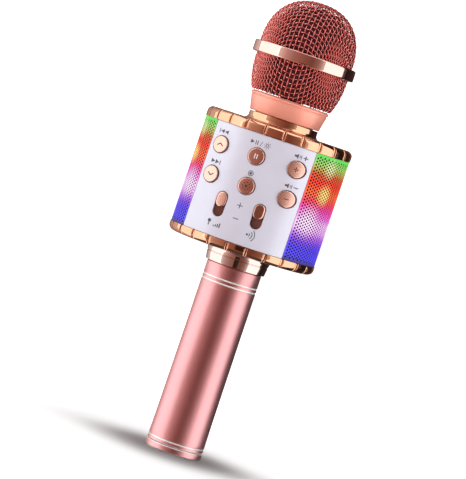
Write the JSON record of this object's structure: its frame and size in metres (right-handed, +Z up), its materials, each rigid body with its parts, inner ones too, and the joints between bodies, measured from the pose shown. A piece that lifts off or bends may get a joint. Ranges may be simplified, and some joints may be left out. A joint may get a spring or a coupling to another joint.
{
  "type": "karaoke microphone",
  "caption": "Handheld wireless karaoke microphone: wire-mesh head, drum-shaped speaker box with lit side grilles and a button panel, slim battery handle.",
  "frame": {"origin": "centre of the handle's flat foot", "axes": "+Z up the handle's axis towards the mesh head, the button panel faces -Y, +X to the right of someone facing the panel"},
  "size_m": [0.0798, 0.0815, 0.2497],
  "materials": {
    "rose_anodised": "satin rose-pink anodised",
    "rose_mesh": "rose-copper coated wire mesh",
    "copper_plate": "polished copper plating",
    "champagne_plate": "polished champagne plating",
    "silver_paint": "pale silver paint",
    "printed_ink": "dark grey pad print",
    "lit_grille": "fine perforated sheet lit from behind in bands of colour",
    "opal_diffuser": "opal light diffuser",
    "black_plastic": "moulded black",
    "white_plastic": "white board and light packages",
    "foam": "open-cell foam",
    "circuit_board": "green solder mask",
    "steel": "bright pressed steel",
    "paper_cone": "pressed paper",
    "rubber": "soft matt rubber",
    "cell_wrap": "shrink film"
  },
  "bodies": {
    "housing": {"capsule_mount": "rubber", "mic_capsule": "steel", "neck_flange": "copper_plate", "top_bezel": "copper_plate", "bottom_bezel": "copper_plate", "front_panel": "silver_paint", "rear_panel": "silver_paint", "chassis": "black_plastic", "left_grille": "lit_grille", "left_light_diffuser": "opal_diffuser", "left_speaker_basket": "steel", "left_speaker_cone": "paper_cone", "left_speaker_magnet": "steel", "left_front_led_strip": "white_plastic", "left_rear_led_strip": "white_plastic", "right_grille": "lit_grille", "right_light_diffuser": "opal_diffuser", "right_speaker_basket": "steel", "right_speaker_cone": "paper_cone", "right_speaker_magnet": "steel", "right_front_led_strip": "white_plastic", "right_rear_led_strip": "white_plastic", "control_board": "circuit_board", "previous_switch": "black_plastic", "play_switch": "black_plastic", "volume_up_switch": "black_plastic", "next_switch": "black_plastic", "record_switch": "black_plastic", "volume_down_switch": "black_plastic", "mic_volume_slide_pot": "steel", "echo_slide_pot": "steel", "main_board": "circuit_board", "usb_socket": "steel", "aux_jack": "black_plastic", "card_slot": "steel", "power_switch_body": "steel", "neck_collar": "champagne_plate"},
    "windscreen": {"windscreen_foam": "foam"},
    "grille": {"grille_dome": "rose_mesh", "grille_band": "copper_plate", "grille_basket": "rose_mesh", "grille_collar": "rose_anodised"},
    "battery_pack": {"battery_cell": "cell_wrap", "battery_holder": "black_plastic", "battery_spring": "steel"},
    "handle": {"handle_tube": "rose_anodised", "end_cap": "rose_anodised"},
    "previous_key": {"previous_button": "copper_plate"},
    "play_key": {"play_button": "copper_plate"},
    "volume_up_key": {"volume_up_button": "copper_plate"},
    "next_key": {"next_button": "copper_plate"},
    "record_key": {"record_button": "copper_plate"},
    "volume_down_key": {"volume_down_button": "copper_plate"},
    "mic_volume_slider": {"mic_volume_knob": "copper_plate"},
    "echo_slider": {"echo_knob": "copper_plate"},
    "power_slider": {"power_switch_knob": "black_plastic"}
  },
  "joints": [
    {"name": "grille_lift", "type": "slide", "parent": "housing", "child": "windscreen", "axis": [0, 0, 1], "range_m": [0, 0.0075]},
    {"name": "grille_turn", "type": "hinge", "parent": "windscreen", "child": "grille", "pos_m": [0, 0, 0.1904], "axis": [0, 0, 1], "range_deg": [0, 1080]},
    {"name": "handle_drop", "type": "slide", "parent": "housing", "child": "battery_pack", "axis": [0, 0, -1], "range_m": [0, 0.0075]},
    {"name": "handle_turn", "type": "hinge", "parent": "battery_pack", "child": "handle", "pos_m": [0, 0, 0.0957], "axis": [0, 0, -1], "range_deg": [0, 1080]},
    {"name": "previous_press", "type": "slide", "parent": "housing", "child": "previous_key", "axis": [0, 1, 0], "range_m": [0, 0.0006], "stiffness_N_per_m": 1200},
    {"name": "play_press", "type": "slide", "parent": "housing", "child": "play_key", "axis": [0, 1, 0], "range_m": [0, 0.0006], "stiffness_N_per_m": 1200},
    {"name": "volume_up_press", "type": "slide", "parent": "housing", "child": "volume_up_key", "axis": [0, 1, 0], "range_m": [0, 0.0006], "stiffness_N_per_m": 1200},
    {"name": "next_press", "type": "slide", "parent": "housing", "child": "next_key", "axis": [0, 1, 0], "range_m": [0, 0.0006], "stiffness_N_per_m": 1200},
    {"name": "record_press", "type": "slide", "parent": "housing", "child": "record_key", "axis": [0, 1, 0], "range_m": [0, 0.0006], "stiffness_N_per_m": 1200},
    {"name": "volume_down_press", "type": "slide", "parent": "housing", "child": "volume_down_key", "axis": [0, 1, 0], "range_m": [0, 0.0006], "stiffness_N_per_m": 1200},
    {"name": "mic_volume_slide", "type": "slide", "parent": "housing", "child": "mic_volume_slider", "axis": [0, 0, -1], "range_m": [0, 0.0048]},
    {"name": "echo_slide", "type": "slide", "parent": "housing", "child": "echo_slider", "axis": [0, 0, -1], "range_m": [0, 0.0048]},
    {"name": "power_slide", "type": "slide", "parent": "housing", "child": "power_slider", "axis": [1, 0, 0], "range_m": [0, 0.003]}
  ],
  "couplings": [
    {"joint": "grille_turn", "follows": "grille_lift", "rad_per_m": 2513.3},
    {"joint": "handle_turn", "follows": "handle_drop", "rad_per_m": 2513.3}
  ]
}
